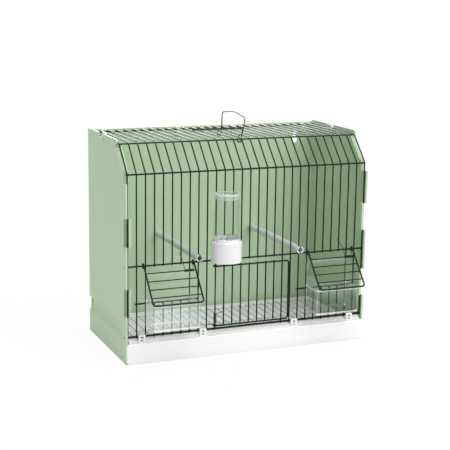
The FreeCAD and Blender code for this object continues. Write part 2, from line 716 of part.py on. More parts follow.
# Perches
def perch(name, wire):
    """A hollow tube on the mid rail, slotted over a front wire and pushed on a peg behind."""
    x = wire_x(wire)
    front = wire_plane - dim.perch_lead
    length = back_inner - dim.perch_back_gap - front
    start = (x, front, perch_height)
    outside = rod(f"{name}_outside", start, (0, 1, 0), length, dim.perch_diameter / 2)
    bore = rod(f"{name}_bore", start, (0, 1, 0), length, dim.perch_bore / 2)
    half = wire_radius + dim.perch_slot_gap
    slot_y = (front, wire_plane + half)
    radius = dim.perch_diameter / 2
    slot_z = (perch_height - radius, perch_height + radius)
    slot = box(f"{name}_slot", (x - half, x + half), slot_y, slot_z)
    return cut(name, outside, [bore, slot])


for side_name, wire in zip(("left", "right"), PERCH_WIRES):
    node(perch(f"{side_name}_perch", wire))

# Feeder flaps
lean = math.radians(float(dim.flap_angle))
flap_down = Vector(0, -math.sin(lean), -math.cos(lean))
flap_out = Vector(0, -math.cos(lean), math.sin(lean))
flap_eye = rail_radius + dim.eye_gap + bent_radius
flap_cross_drop = bent_radius + dim.flap_wire_diameter / 2 - dim.weld_bite


def flap_point(along, out):
    """A point of the flaps' side view, from the axis of the mid rail."""
    y = rail_plane + along * flap_down.y + out * flap_out.y
    z = dim.mid_rail_height + along * flap_down.z + out * flap_out.z
    return y, z


def vector(x, y, z):
    return Vector(float(x), float(y), float(z))


def flap(name, low_wire, high_wire, low, high):
    left = wire_x(low_wire) - low
    right = wire_x(high_wire) + high
    eye = float(flap_eye)
    sweep = math.radians(float(dim.eye_sweep))
    outward = math.atan2(flap_out.z, flap_out.y)
    axis_y, axis_z = flap_point(0, 0)
    hinge_y, hinge_z = flap_point(0, flap_eye)
    foot_y, foot_z = flap_point(dim.flap_length, flap_eye)
    ways = (Vector(0, 1, 0), Vector(0, 0, 1))
    left_eye = ring_arc(vector(left, axis_y, axis_z), *ways, eye, outward - sweep, outward)
    right_eye = ring_arc(vector(right, axis_y, axis_z), *ways, eye, outward, outward - sweep)
    corners = [
        vector(left, hinge_y, hinge_z), vector(left, foot_y, foot_z),
        vector(right, foot_y, foot_z), vector(right, hinge_y, hinge_z),
    ]
    edges = [left_eye] + bent(corners, [float(dim.corner_radius)] * 2) + [right_eye]
    shape_node(f"{name}_frame", tube(edges, dim.bent_wire_diameter))

    wires = []
    for number in range(1, FLAP_CROSS_WIRES + 1):
        along = dim.flap_length * (number / (FLAP_CROSS_WIRES + 1))
        y, z = flap_point(along, flap_eye - flap_cross_drop)
        start = (left, y, z)
        radius = dim.flap_wire_diameter / 2
        wires.append(rod(f"{name}_wire_{number}", start, (1, 0, 0), right - left, radius))
    node(group(f"{name}_wires", wires))

    coil = float(dim.flap_wire_diameter / 2 + dim.spring_gap + dim.spring_wire / 2)
    coil_y, coil_z = flap_point(dim.flap_length / (FLAP_CROSS_WIRES + 1), flap_eye - flap_cross_drop)
    bear_y = wire_plane - wire_radius - dim.spring_wire / 2 - dim.spring_leg_gap
    reach_y = float(bear_y - coil_y)
    reach_z = float(dim.mid_rail_height + dim.flap_leg_rise - coil_z)
    far = math.hypot(reach_y, reach_z)
    entry = math.atan2(reach_z, reach_y) + math.acos(coil / far)
    sweep = 2 * math.pi * FLAP_SPRING_TURNS + (outward + math.pi - entry) % (2 * math.pi)
    right_end = float(right - bent_radius - dim.flap_spring_inset)
    left_end = right_end - float(dim.spring_pitch) * sweep / (2 * math.pi)
    legs = (math.sqrt(far ** 2 - coil ** 2), float(dim.flap_leg_moving))
    centre = vector(left_end, coil_y, coil_z)
    knee = (float(dim.flap_leg_knee), float(wire_x(high_wire - 1) - dim.flap_leg_past) - left_end)
    ways = (Vector(1, 0, 0), Vector(0, 1, 0))
    shape_node(f"{name}_spring", spring(f"{name}_spring", centre, *ways, coil, entry, sweep, legs, knee))


flap("left_flap", *FEEDER_WIRES[0], dim.left_flap_low, dim.left_flap_high)
flap("right_flap", *FEEDER_WIRES[1], dim.right_flap_low, dim.right_flap_high)


# Feeders
def feeder(name, low_wire, high_wire):
    """A clear cup outside the wires. Its tongue hooks over the feeder rail, its lip carries the
    flap, and side wings close the gap beside the flap."""
    wall = dim.feeder_wall
    low = wire_x(low_wire) - dim.feeder_overlap
    high = wire_x(high_wire) + dim.feeder_overlap
    back = wire_plane - wire_radius - dim.feeder_wire_gap
    front = back - dim.feeder_depth
    bar_y, bar_z = flap_point(dim.flap_length, flap_eye)
    rim = bar_z - bent_radius - dim.flap_rest_gap
    tongue_low = dim.feeder_rail_height + rail_radius + dim.seat_gap
    tongue_top = tongue_low + wall
    hook_low = tongue_low - dim.feeder_hook
    tongue_end = wire_plane + dim.feeder_tongue
    wing_top = dim.mid_rail_height - dim.wing_drop
    tongue_x = (low + dim.feeder_overlap * 2 + wire_radius, high - dim.feeder_overlap * 2 - wire_radius)
    solids = [
        box(f"{name}_floor", (low, high), (front, back), (dim.feeder_low, dim.feeder_low + wall)),
        box(f"{name}_front", (low, high), (front, front + wall), (dim.feeder_low, rim)),
        box(f"{name}_back", (low, high), (back - wall, back), (dim.feeder_low, tongue_top)),
        box(f"{name}_lip", (low, high), (front - dim.feeder_lip, front), (rim - wall, rim)),
        box(f"{name}_tongue", tongue_x, (back - wall, tongue_end), (tongue_low, tongue_top)),
        box(f"{name}_hook", tongue_x, (tongue_end - wall, tongue_end), (hook_low, tongue_low)),
        box(f"{name}_bar", (low, high), (back - wall, back), (wing_top - dim.wing_bar, wing_top)),
    ]
    for side, start in (("left", low), ("right", high - wall)):
        side_x = (start, start + wall)
        solids.append(box(f"{name}_{side}_side", side_x, (front, back), (dim.feeder_low, rim)))
        wing_z = (rim - wall, rim)
        peak_z = (rim - wall, wing_top)
        wing = wedge(f"{name}_{side}_wing", 0, side_x, front, wing_z, back, peak_z)
        solids.append(wing)
    return fuse(name, solids)


for side_name, (low_wire, high_wire) in zip(("left", "right"), FEEDER_WIRES):
    node(feeder(f"{side_name}_feeder", low_wire, high_wire))


# Door
def door():
    """A bent frame outside the wires, hung by two eyes on an upright wire and held shut by a
    torsion spring round that wire."""
    hinge_x = wire_x(DOOR_HINGE_WIRE)
    right = wire_x(DOOR_STOP_WIRE) + dim.door_overlap
    eye = wire_radius + dim.eye_gap + bent_radius
    plane = wire_plane - eye
    top = dim.mid_rail_height - dim.door_top_gap
    low = dim.bottom_rail_height + dim.door_bottom_gap
    sweep = math.radians(float(dim.eye_sweep))
    ways = (Vector(1, 0, 0), Vector(0, 1, 0))
    front = -math.pi / 2
    top_eye = ring_arc(vector(hinge_x, wire_plane, top), *ways, float(eye), front - sweep, front)
    low_eye = ring_arc(vector(hinge_x, wire_plane, low), *ways, float(eye), front, front - sweep)
    corners = [
        vector(hinge_x, plane, top), vector(right, plane, top),
        vector(right, plane, low), vector(hinge_x, plane, low),
    ]
    edges = [top_eye] + bent(corners, [float(dim.corner_radius)] * 2) + [low_eye]
    shape_node("door_frame", tube(edges, dim.bent_wire_diameter))

    inside = plane + bent_radius + wire_radius - dim.weld_bite
    wires = []
    for wire in door_cut:
        start = (wire_x(wire), inside, low - dim.wire_overhang)
        length = top - low + dim.wire_overhang * 2
        wires.append(rod(f"door_wire_{wire}", start, (0, 0, 1), length, wire_radius))
    node(group("door_wires", wires))

    leg_plane = inside - wire_radius - dim.spring_wire / 2 - dim.spring_leg_gap
    coil = float(wire_plane - leg_plane)
    centre = vector(hinge_x, wire_plane, low + dim.door_spring_rise)
    legs = (float(dim.door_leg_fixed), float(dim.door_leg_moving))
    turns = 2 * math.pi * DOOR_SPRING_TURNS
    shape = spring("door_spring", centre, Vector(0, 0, 1), Vector(1, 0, 0), coil, front, turns, legs)
    shape_node("door_spring", shape)


door()


# Drinker
def drinker():
    """A cup in front of the wires whose spout reaches in between two of them over the mid rail,
    and a clear tube that stands in the cup."""
    x = wire_x(DRINKER_PLACE)
    radius = dim.drinker_diameter / 2
    y = wire_plane - wire_radius - dim.drinker_wire_gap - radius
    low = dim.mid_rail_height + dim.drinker_rise
    floor = low + dim.drinker_floor
    bore = dim.tube_diameter / 2 + dim.tube_fit
    half = dim.wire_pitch / 2 - wire_radius - dim.spout_side_gap
    spout_low = dim.mid_rail_height + rail_radius + dim.spout_rail_gap
    spout_top = low + dim.spout_rise
    spout_end = wire_plane + dim.spout_reach
    cylinder = rod("cup_cylinder", (x, y, low), (0, 0, 1), dim.drinker_height, radius)
    body = rounded("cup_body", cylinder, CYLINDER_LOW_EDGE, dim.drinker_round)
    spout = box("cup_spout", (x - half, x + half), (y, spout_end), (spout_low, spout_top))
    inside = rod("cup_bore", (x, y, floor), (0, 0, 1), dim.drinker_height - dim.drinker_floor, bore)
    channel_x = (x - half + dim.spout_wall, x + half - dim.spout_wall)
    channel_y = (y, spout_end - dim.spout_wall)
    channel = box("cup_channel", channel_x, channel_y, (floor, spout_top))
    node(cut("drinker_cup", fuse("cup_and_spout", [body, spout]), [inside, channel]))

    foot_z = floor + dim.seat_gap
    outer_low = dim.tube_diameter / 2
    outer_top = dim.tube_top_diameter / 2
    outside = cone("tube_outside", (x, y, foot_z), outer_low, outer_top, dim.tube_height)
    inner_height = dim.tube_height - dim.tube_wall
    inner_low = outer_low - dim.tube_wall
    inner_top = outer_top - dim.tube_wall
    hollow = cone("tube_inside", (x, y, foot_z), inner_low, inner_top, inner_height)
    node(cut("drinker_tube", outside, [hollow]))


drinker()


# Drawer
def drawer():
    """A white tray that slides out to the front. Its front plate covers the panels' edges, a ledge
    fills the space under the bottom rail, and four clips stand up in front of that rail, each with
    a hole through the ledge behind it."""
    wall = dim.drawer_wall
    half = inner_face - dim.panel_fit - dim.pan_thickness - dim.slide_gap
    plate_back = front_edge - dim.drawer_front_gap
    plate_front = plate_back - dim.drawer_front_thickness
    back = back_inner - dim.drawer_back_gap
    low = dim.pan_thickness + dim.slide_gap
    floor_top = low + wall
    rim = dim.floor_wire_height + dim.drawer_rim
    plate_top = dim.bottom_rail_height - bottom_rail_radius - dim.drawer_front_drop
    ledge_top = dim.bottom_rail_height - bottom_rail_radius - dim.drawer_ledge_gap
    ledge_back = plate_back + dim.drawer_ledge_depth
    floor_radius = dim.floor_wire_diameter / 2
    frame_z = dim.floor_wire_height - dim.floor_wire_diameter + dim.weld_bite
    step_top = frame_z - floor_radius - dim.seat_gap
    inside = half - wall
    clip_back = wire_plane - wire_radius - dim.clip_gap
    clip_front = clip_back - dim.clip_thickness
    plate_z = (dim.drawer_front_low, plate_top)
    plain_plate = box("drawer_plate", (-outer_face, outer_face), (plate_front, plate_back), plate_z)
    plate = rounded("drawer_plate_corners", plain_plate, BOX_EDGES_ALONG_Y, dim.drawer_corner)
    solids = [
        box("drawer_floor", (-half, half), (plate_back, back), (low, floor_top)),
        box("drawer_left", (-half, -inside), (plate_back, back), (low, rim)),
        box("drawer_right", (inside, half), (plate_back, back), (low, rim)),
        box("drawer_back", (-half, half), (back - wall, back), (low, rim)),
        rounded("drawer_front", plate, edges_at_front(plate), dim.drawer_edge),
        box("drawer_riser", (-half, half), (ledge_back - wall, ledge_back), (low, ledge_top)),
        wedge("drawer_ledge", 0, (-half, half), plate_back, (plate_top - wall, plate_top),
              ledge_back, (ledge_top - wall, ledge_top)),
        box("drawer_front_step", (-half, half), (ledge_back, ledge_back + dim.floor_ledge), (low, step_top)),
        box("drawer_back_step", (-half, half), (back - wall - dim.floor_ledge, back - wall), (low, step_top)),
    ]
    cuts = []
    for place in CLIP_PLACES:
        name = f"clip_{place:g}".replace(".", "_")
        x = wire_x(place)
        clip_x = (x - dim.clip_width / 2, x + dim.clip_width / 2)
        clip_y = (clip_front, clip_back)
        clip_z = (plate_top - wall, dim.bottom_rail_height + dim.clip_rise)
        solids.append(box(name, clip_x, clip_y, clip_z))
        window_x = (x - dim.clip_window_width / 2, x + dim.clip_window_width / 2)
        window_low = dim.bottom_rail_height - dim.clip_window_height / 2
        slot_low = dim.bottom_rail_height - dim.clip_slot_drop
        window_z = (window_low, window_low + dim.clip_window_height)
        slot_z = (slot_low, slot_low + dim.clip_slot_height)
        cuts.append(box(f"{name}_window", window_x, clip_y, window_z))
        cuts.append(box(f"{name}_slot", window_x, clip_y, slot_z))
        core_y, core_z = (clip_back, ledge_back - wall), (plate_top - wall, ledge_top)
        cuts.append(box(f"{name}_core", window_x, core_y, core_z))
    node(cut("drawer_tray", fuse("drawer_solid", solids), cuts))

    grid_front = ledge_back + dim.floor_wire_inset
    grid_back = back - wall - dim.floor_wire_inset
    wires = []
    for wire in range(1, LAST_WIRE):
        start = (wire_x(wire), grid_front, dim.floor_wire_height)
        wires.append(rod(f"floor_{wire}", start, (0, 1, 0), grid_back - grid_front, floor_radius))
    node(group("floor_grille_wires", wires))

    end = wire_x(LAST_WIRE - 1) + dim.wire_overhang
    bars = []
    rows = (grid_front + dim.wire_overhang, (grid_front + grid_back) / 2, grid_back - dim.wire_overhang)
    for number, y in enumerate(rows, 1):
        bars.append(rod(f"floor_bar_{number}", (-end, y, frame_z), (1, 0, 0), end * 2, floor_radius))
    node(group("floor_grille_bars", bars))


drawer()


# Handle
def handle():
    """A bail of bent wire with a long hook at each foot, both round the middle top wire. It folds
    to either side about that wire, and leans over a little because the hooks are loose."""
    radius = float(dim.handle_hook_radius)
    wire_half = float(dim.handle_wire_diameter / 2)
    seat = float(top_height + wire_radius + dim.eye_gap) + wire_half - radius
    low = seat - float(dim.handle_play)
    clear = float(rail_radius) + wire_half
    front = float(top_rail_y + dim.handle_front_gap) + clear
    rear = float(handle_bar_y - dim.handle_rear_gap) - clear
    middle = float(wire_x(middle_wire))
    leg = middle + radius
    knee = float(top_height + dim.handle_knee)
    shoulder = float(top_height + dim.handle_rise)
    front_corner = front - float(dim.handle_front_splay)
    rear_corner = rear + float(dim.handle_rear_splay)
    points = [
        Vector(leg, front, low), Vector(leg, front, knee), Vector(leg, front_corner, shoulder),
        Vector(leg, (front_corner + rear_corner) / 2, shoulder + float(dim.handle_crown)),
        Vector(leg, rear_corner, shoulder), Vector(leg, rear, knee), Vector(leg, rear, low),
    ]
    corner, knee_bend = float(dim.handle_corner), float(dim.handle_knee_bend)
    ways = (Vector(1, 0, 0), Vector(0, 0, 1))

    def hook(y):
        """From the tip over the wire, down beside it and round below it to the foot of a leg."""
        top, bottom = Vector(middle, y, seat), Vector(middle, y, low)
        side = ways[0] * radius
        return [
            ring_arc(top, *ways, radius, math.pi / 2, math.pi), line(top - side, bottom - side),
            ring_arc(bottom, *ways, radius, math.pi, 2 * math.pi),
        ]

    legs = bent(points, [knee_bend, corner, float(dim.handle_crown_bend), corner, knee_bend])
    upright_bail = tube(hook(front) + legs + hook(rear)[::-1], dim.handle_wire_diameter)
    pivot = vector(middle, front, top_height)
    shape_node("handle", upright_bail.rotated(pivot, Vector(0, 1, 0), float(dim.handle_lean)))


handle()

# Build, test and write the parts
doc.recompute()
for obj in doc.Objects:
    if "Invalid" in obj.State or "Error" in obj.State:
        raise RuntimeError(f"{obj.Name} failed: {obj.State}")
for obj in nodes:
    if obj.Shape.isNull() or not obj.Shape.isValid():
        raise RuntimeError(f"{obj.Label} has no valid shape")
os.makedirs("parts", exist_ok=True)
for obj in nodes:
    obj.Shape.exportStep(f"parts/{obj.Label}.step")
    print(f"{obj.Label}: {len(obj.Shape.Solids)} solids, {obj.Shape.Volume:.1f} cubic mm")
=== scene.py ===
# %% [markdown]
# # A bird show cage
# This lesson dresses a bird show cage: green plastic sides and back, a front and top of black
# wire, a white drawer, two clear feeders under sprung flaps, a drinker, two perches and a handle.
# The exact solids come in as a fixed frame. Pieces whose solids already look right only get a
# finish. The others are made anew here, in the same place, and stand in for their solids.
# Camera, lamps and finishes are given in metres. Wires, edges and the tube are given in
# millimetres, and MM turns those into metres.

# %% Load the frame
import json
import math

import bmesh
import bpy
import numpy as np
from mathutils import Matrix


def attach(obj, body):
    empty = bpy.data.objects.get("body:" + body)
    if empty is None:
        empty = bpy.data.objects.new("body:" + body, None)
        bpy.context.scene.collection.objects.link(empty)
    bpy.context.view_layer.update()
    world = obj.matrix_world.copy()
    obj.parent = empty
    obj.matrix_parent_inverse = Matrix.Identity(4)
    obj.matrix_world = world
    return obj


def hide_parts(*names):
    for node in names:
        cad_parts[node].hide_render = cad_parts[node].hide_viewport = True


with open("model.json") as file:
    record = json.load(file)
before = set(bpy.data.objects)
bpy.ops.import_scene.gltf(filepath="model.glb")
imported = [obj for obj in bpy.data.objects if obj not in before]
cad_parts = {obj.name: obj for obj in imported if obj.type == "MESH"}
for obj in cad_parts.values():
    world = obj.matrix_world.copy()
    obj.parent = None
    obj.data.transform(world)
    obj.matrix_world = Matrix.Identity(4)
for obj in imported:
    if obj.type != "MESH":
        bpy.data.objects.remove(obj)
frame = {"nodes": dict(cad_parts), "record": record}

MM = 0.001
scene = bpy.context.scene
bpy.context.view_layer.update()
nodes = frame["nodes"]

# %% [markdown]
# ## The camera
# The camera stands left of the middle and a little above the cage. Its place, lens and tilt were
# fitted to the evenly spaced front wires, so a wire in the render falls on the same wire in the
# picture. A camera looks down its own -Z, so the third column of its matrix points backwards.

# %% Camera
CAMERA_PLACE = (-0.6330, -1.5024, 0.5027)
CAMERA_YAW, CAMERA_PITCH, CAMERA_ROLL = np.radians((22.771, 11.764, 0.818))
LENS_LENGTH, SENSOR_WIDTH = 92.4, 36.0
SIGHT_REACH = 30.0


def unit(vector):
    """The vector at a length of 1."""
    return vector / np.linalg.norm(vector)


def camera_axes(yaw, pitch, roll):
    """Right, up and backward directions of a camera that starts level and looks along +Y, turns
    right by yaw, looks down by pitch and then rolls about its own line of sight."""
    forward = np.array((math.sin(yaw) * math.cos(pitch), math.cos(yaw) * math.cos(pitch),
                        -math.sin(pitch)))
    right = np.array((math.cos(yaw), -math.sin(yaw), 0.0))
    up = np.cross(right, forward)
    rolled_right = math.cos(roll) * right + math.sin(roll) * up
    rolled_up = math.cos(roll) * up - math.sin(roll) * right
    return np.column_stack((rolled_right, rolled_up, -forward))


def put(thing, axes, place):
    """Links a camera or lamp into the scene at a place. The columns of axes are the directions
    of its own X, Y and Z."""
    pose = np.eye(4)
    pose[:3, :3] = axes
    pose[:3, 3] = place
    scene.collection.objects.link(thing)
    thing.matrix_world = Matrix(pose.tolist())


camera_data = bpy.data.cameras.new("photo_camera")
camera_data.sensor_width = SENSOR_WIDTH
camera_data.lens = LENS_LENGTH
camera_data.clip_end = SIGHT_REACH
camera = bpy.data.objects.new("photo_camera", camera_data)
put(camera, camera_axes(CAMERA_YAW, CAMERA_PITCH, CAMERA_ROLL), CAMERA_PLACE)
scene.camera = camera
print("camera at", CAMERA_PLACE, "with a lens of", LENS_LENGTH, "mm")

# %% [markdown]
# ## Writing shaders as sums
# Shader maths is easier to read as a formula than as a row of nodes. A small class wraps an
# output socket and adds one Math node for each operator. Every other node comes from one method,
# which takes the node's type, its settings and what goes into its sockets.


# %% Shader helper
class Channel:
    """A value that varies over a surface. Each operator adds one Math node."""

    def __init__(self, maker, socket):
        self.maker = maker
        self.socket = socket

    def maths(self, operation, left, right):
        return self.maker.node("ShaderNodeMath", {"operation": operation}, {0: left, 1: right})

    def __add__(self, other):
        return self.maths("ADD", self, other)

    def __sub__(self, other):
        return self.maths("SUBTRACT", self, other)

    def __rsub__(self, other):
        return self.maths("SUBTRACT", other, self)

    def __mul__(self, other):
        return self.maths("MULTIPLY", self, other)

    def larger(self, other):
        return self.maths("MAXIMUM", self, other)

    __radd__ = __add__
    __rmul__ = __mul__


class Maker:
    """Adds nodes to one node tree, that of the world or of a material."""

    def __init__(self, tree):
        self.tree = tree

    def node(self, kind, settings=None, inputs=None, out=0):
        """Adds a node, sets its settings, then its sockets, and gives back one of its outputs."""
        made = self.tree.nodes.new(kind)
        for name, value in (settings or {}).items():
            setattr(made, name, value)
        for key, value in (inputs or {}).items():
            self.feed(made.inputs[key], value)
        return Channel(self, made.outputs[out])

    def feed(self, socket, value):
        """Links a channel to a socket, or sets the socket to a fixed value."""
        if isinstance(value, Channel):
            self.tree.links.new(value.socket, socket)
        else:
            socket.default_value = value

    def straight_rays(self):
        """1 for rays from the camera, a glossy surface or a clear one, and 0 for the others."""
        kinds = ("Is Camera Ray", "Is Glossy Ray", "Is Transmission Ray")
        seen, mirrored, through = (self.node("ShaderNodeLightPath", out=kind) for kind in kinds)
        return seen.larger(mirrored).larger(through)

    def show_mix(self, output, share, first, second):
        """Mixes two shaders, from first at share 0 to second at 1, and shows them at an output."""
        mixed = self.node("ShaderNodeMixShader", None, {0: share, 1: first, 2: second})
        self.feed(self.tree.nodes[output].inputs["Surface"], mixed)


class Finish(Maker):
    """One material. Its nodes are made by node() and its surface values are set by surface()."""

    def __init__(self, name):
        self.material = bpy.data.materials.new(name)
        self.material.use_nodes = True
        super().__init__(self.material.node_tree)
        self.shader = self.tree.nodes["Principled BSDF"]
        self.place = self.node("ShaderNodeTexCoord", out="Object")

    def noise(self, scale, detail=2.0, stretch=(1.0, 1.0, 1.0)):
        """Cloudy noise from 0 to 1 in object space; stretch squeezes it along each axis."""
        place = self.node("ShaderNodeMapping", None, {"Vector": self.place, "Scale": stretch})
        inputs = {"Vector": place, "Scale": scale, "Detail": detail}
        return self.node("ShaderNodeTexNoise", None, inputs)

    def axes(self):
        """The place on the object in metres, as three values: across, depth and height."""
        return [self.node("ShaderNodeSeparateXYZ", None, {0: self.place}, out=axis)
                for axis in "XYZ"]

    def size_of(self, value):
        """The value without its sign."""
        return self.node("ShaderNodeMath", {"operation": "ABSOLUTE"}, {0: value})

    def fade(self, value, full, none):
        """1 where value is at full, falling evenly to 0 where it is at none."""
        inputs = {"Value": value, "From Min": full, "From Max": none, "To Min": 1.0, "To Max": 0.0}
        return self.node("ShaderNodeMapRange", None, inputs)

    def near(self, value, level, width=0.0016):
        """1 where value is close to level, falling to 0 at width from it."""
        return self.fade(self.size_of(value - level), width / 2, width)

    def blend(self, amount, low, high):
        """Mixes two colours by amount, from low at 0 to high at 1."""
        inputs = {0: amount, 6: low, 7: high}
        return self.node("ShaderNodeMix", {"data_type": "RGBA"}, inputs, out=2)

    def bump(self, height, strength, distance):
        """Tilts the surface as if height, times distance in metres, stood out of it."""
        inputs = {"Strength": strength, "Distance": distance, "Height": height}
        return self.node("ShaderNodeBump", None, inputs)

    def surface(self, **values):
        """Sets values of the surface shader, named as on the shader but with _ for a space."""
        for name, value in values.items():
            self.feed(self.shader.inputs[name.replace("_", " ")], value)
        print("finish", self.material.name, "has", len(self.tree.nodes), "nodes")
        return self.material


def tone(red, green, blue):
    """An opaque colour from its linear parts."""
    return (red, green, blue, 1.0)


# %% [markdown]
# ## The studio
# The picture was taken on white with soft light. The main soft box stands in front and to the
# right, because the perches throw their shadows to the left. One above lights the drawer's floor,
# and one behind brightens the top wires and edges. The world gives the rest. For rays that come
# from the camera, a mirror or a clear piece, world and floor are white, so the background stays
# white without more light falling on the cage. The floor still keeps its shadow.

# %% World, lamps and floor
scene.view_settings.view_transform = "Standard"
WORLD_LIGHT = 0.58
WHITE_LIGHT = tone(1.0, 1.0, 1.0)
LAMP_AIM = np.array((0.0, 0.0, 0.13))
LAMPS = (
    ("front_soft_box", (0.80, -2.10, 1.15), (1.0, 1.0), 17.5),
    ("top_soft_box", (0.25, -0.55, 1.75), (1.2, 1.2), 16.5),
    ("rear_strip_box", (0.38, 2.10, 0.97), (1.1, 0.65), 19.0),
)
FLOOR_REACH = 6.0
FLOOR_GLOW = 0.93
SHADOW_REACH = (0.45, 1.20)

world = bpy.data.worlds.new("studio")
world.use_nodes = True
scene.world = world
sky = Maker(world.node_tree)
dim_sky = sky.tree.nodes["Background"]
sky.feed(dim_sky.inputs["Color"], WHITE_LIGHT)
sky.feed(dim_sky.inputs["Strength"], WORLD_LIGHT)
white_sky = sky.node("ShaderNodeBackground", None, {"Color": WHITE_LIGHT})
sky.show_mix("World Output", sky.straight_rays(), Channel(sky, dim_sky.outputs[0]), white_sky)


def add_lamp(name, place, size, watts):
    """A soft box of that width and height, turned so that it faces the cage."""
    data = bpy.data.lights.new(name, "AREA")
    data.shape = "RECTANGLE"
    data.size, data.size_y = size
    data.energy = watts
    back = unit(np.array(place) - LAMP_AIM)
    right = unit(np.cross((0.0, 0.0, 1.0), back))
    soft_box = bpy.data.objects.new(name, data)
    put(soft_box, np.column_stack((right, np.cross(back, right), back)), place)
    print("lamp", name, watts, "watts at", place)


for soft_box_values in LAMPS:
    add_lamp(*soft_box_values)

floor_mesh = bpy.data.meshes.new("studio_floor")
floor_corners = [(x * FLOOR_REACH, y * FLOOR_REACH, 0.0)
                 for x, y in ((-1, -1), (1, -1), (1, 1), (-1, 1))]
floor_mesh.from_pydata(floor_corners, [], [(0, 1, 2, 3)])
studio_floor = bpy.data.objects.new("studio_floor", floor_mesh)
scene.collection.objects.link(studio_floor)
paper = Finish("studio_paper")
paper.surface(Base_Color=tone(0.86, 0.86, 0.86), Roughness=0.9)
away = paper.node("ShaderNodeVectorMath", {"operation": "LENGTH"}, {0: paper.place}, out="Value")
shadow_share = paper.fade(away, *SHADOW_REACH) * (1.0 - FLOOR_GLOW)
glow_share = paper.straight_rays() * (1.0 - shadow_share)
glow = paper.node("ShaderNodeEmission")
paper.show_mix("Material Output", glow_share, Channel(paper, paper.shader.outputs[0]), glow)
floor_mesh.materials.append(paper.material)
print("world light", WORLD_LIGHT, "and a floor that reaches", FLOOR_REACH, "m")

# %% [markdown]
# ## Green panels
# The panels are thin moulded sheets in one pale green. Real ones show slow clouds of lighter and
# darker colour where the plastic flowed, and a fine satin grain. Low down on the back wall the
# green is painted paler: painted light, for the light that the white drawer throws back up.


# %% Green plastic
BACK_INNER, SIDE_INNER = 0.0846, 0.1776
# Where the back wall is painted paler as painted light: its inner face, the sides and the heights.
PAINTED_LIGHT_DEPTH = 0.0020
PAINTED_LIGHT_SIDES = (SIDE_INNER - 0.004, SIDE_INNER - 0.001)
PAINTED_LIGHT_LOW, PAINTED_LIGHT_HIGH = 0.060, 0.190


def green_plastic():
    finish = Finish("green_plastic")
    clouds = finish.noise(11.0, 3.0)
    flow = finish.noise(26.0, 2.0, (1.0, 1.0, 0.22))
    grain = finish.noise(2600.0, 2.0)
    across, depth, height = finish.axes()
    # Painted light: the back wall's inner face is painted paler towards the bottom, for light
    # thrown up from the white drawer.
    between = finish.fade(finish.size_of(across), *PAINTED_LIGHT_SIDES)
    on_back = finish.near(depth, BACK_INNER, PAINTED_LIGHT_DEPTH) * between
    painted_light = on_back * finish.fade(height, PAINTED_LIGHT_LOW, PAINTED_LIGHT_HIGH) * (clouds * 0.5 + 0.5)
    shade = clouds * 0.6 + flow * 0.4
    body = finish.blend(shade, tone(0.445, 0.600, 0.385), tone(0.500, 0.655, 0.435))
    body = finish.blend(painted_light, body, tone(0.58, 0.73, 0.52))
    return finish.surface(
        Base_Color=body,
        Roughness=clouds * 0.14 + 0.34,
        Normal=finish.bump(grain * 0.7 + flow * 0.3, strength=0.12, distance=0.0002),
        Specular_IOR_Level=0.45,
    )


GREEN = green_plastic()

# %% [markdown]
# ## White mouldings
# The drawer and the drinker's cup are smooth white plastic. The white isn't even: it goes a touch
# cooler in clouds, and the lower edge of the drawer is scuffed by the table. The cup is a shade
# greyer than the drawer.


# %% White plastic
DRAWER_TOP, CUP_FOOT = 0.060, 0.130
SCUFF_HEIGHT = 0.012


def white_plastic():
    finish = Finish("white_plastic")
    clouds = finish.noise(17.0, 3.0)
    scuffs = finish.noise(240.0, 4.0, (0.25, 1.0, 1.0))
    grain = finish.noise(1900.0, 2.0)
    height = finish.axes()[2]
    worn = finish.fade(height, 0.0, SCUFF_HEIGHT) * scuffs
    body = finish.blend(clouds, tone(0.838, 0.840, 0.840), tone(0.872, 0.870, 0.866))
    body = finish.blend(finish.fade(height, CUP_FOOT, DRAWER_TOP), body, tone(0.770, 0.760, 0.770))
    body = finish.blend(worn * 0.5, body, tone(0.70, 0.70, 0.69))
    return finish.surface(
        Base_Color=body,
        Roughness=clouds * 0.10 + worn * 0.2 + 0.26,
        Normal=finish.bump(grain, strength=0.05, distance=0.0002),
    )


WHITE = white_plastic()

# %% [markdown]
# ## Black coated wire
# All wires are welded bare and then dipped, so they carry one black coat with a slight orange
# peel. It is semi-gloss, and dust makes it a little greyer in places. The top wires and the crown
# of the handle are painted a dull grey: a painted sheen, for the light from behind and above that
# their tops catch.


# %% Black wire
TOP_WIRES, HANDLE_CORNERS, HANDLE_CROWN = 0.296, 0.304, 0.326


def black_wire():
    finish = Finish("black_wire")
    clouds = finish.noise(70.0, 3.0)
    peel = finish.noise(900.0, 2.0)
    height = finish.axes()[2]
    # Painted sheen: the top wires and the handle's crown are painted grey and made a little
    # rougher, for the light their tops catch.
    on_top = finish.near(height, TOP_WIRES) + finish.fade(height, HANDLE_CROWN, HANDLE_CORNERS)
    painted_light = on_top * (clouds * 0.4 + 0.6)
    body = finish.blend(clouds, tone(0.004, 0.007, 0.004), tone(0.012, 0.017, 0.011))
    body = finish.blend(painted_light, body, tone(0.38, 0.39, 0.37))
    return finish.surface(
        Base_Color=body,
        Roughness=clouds * 0.12 + painted_light * 0.10 + 0.24,
        Normal=finish.bump(peel, strength=0.12, distance=0.0002),
        Specular_IOR_Level=0.2,
    )


BLACK = black_wire()
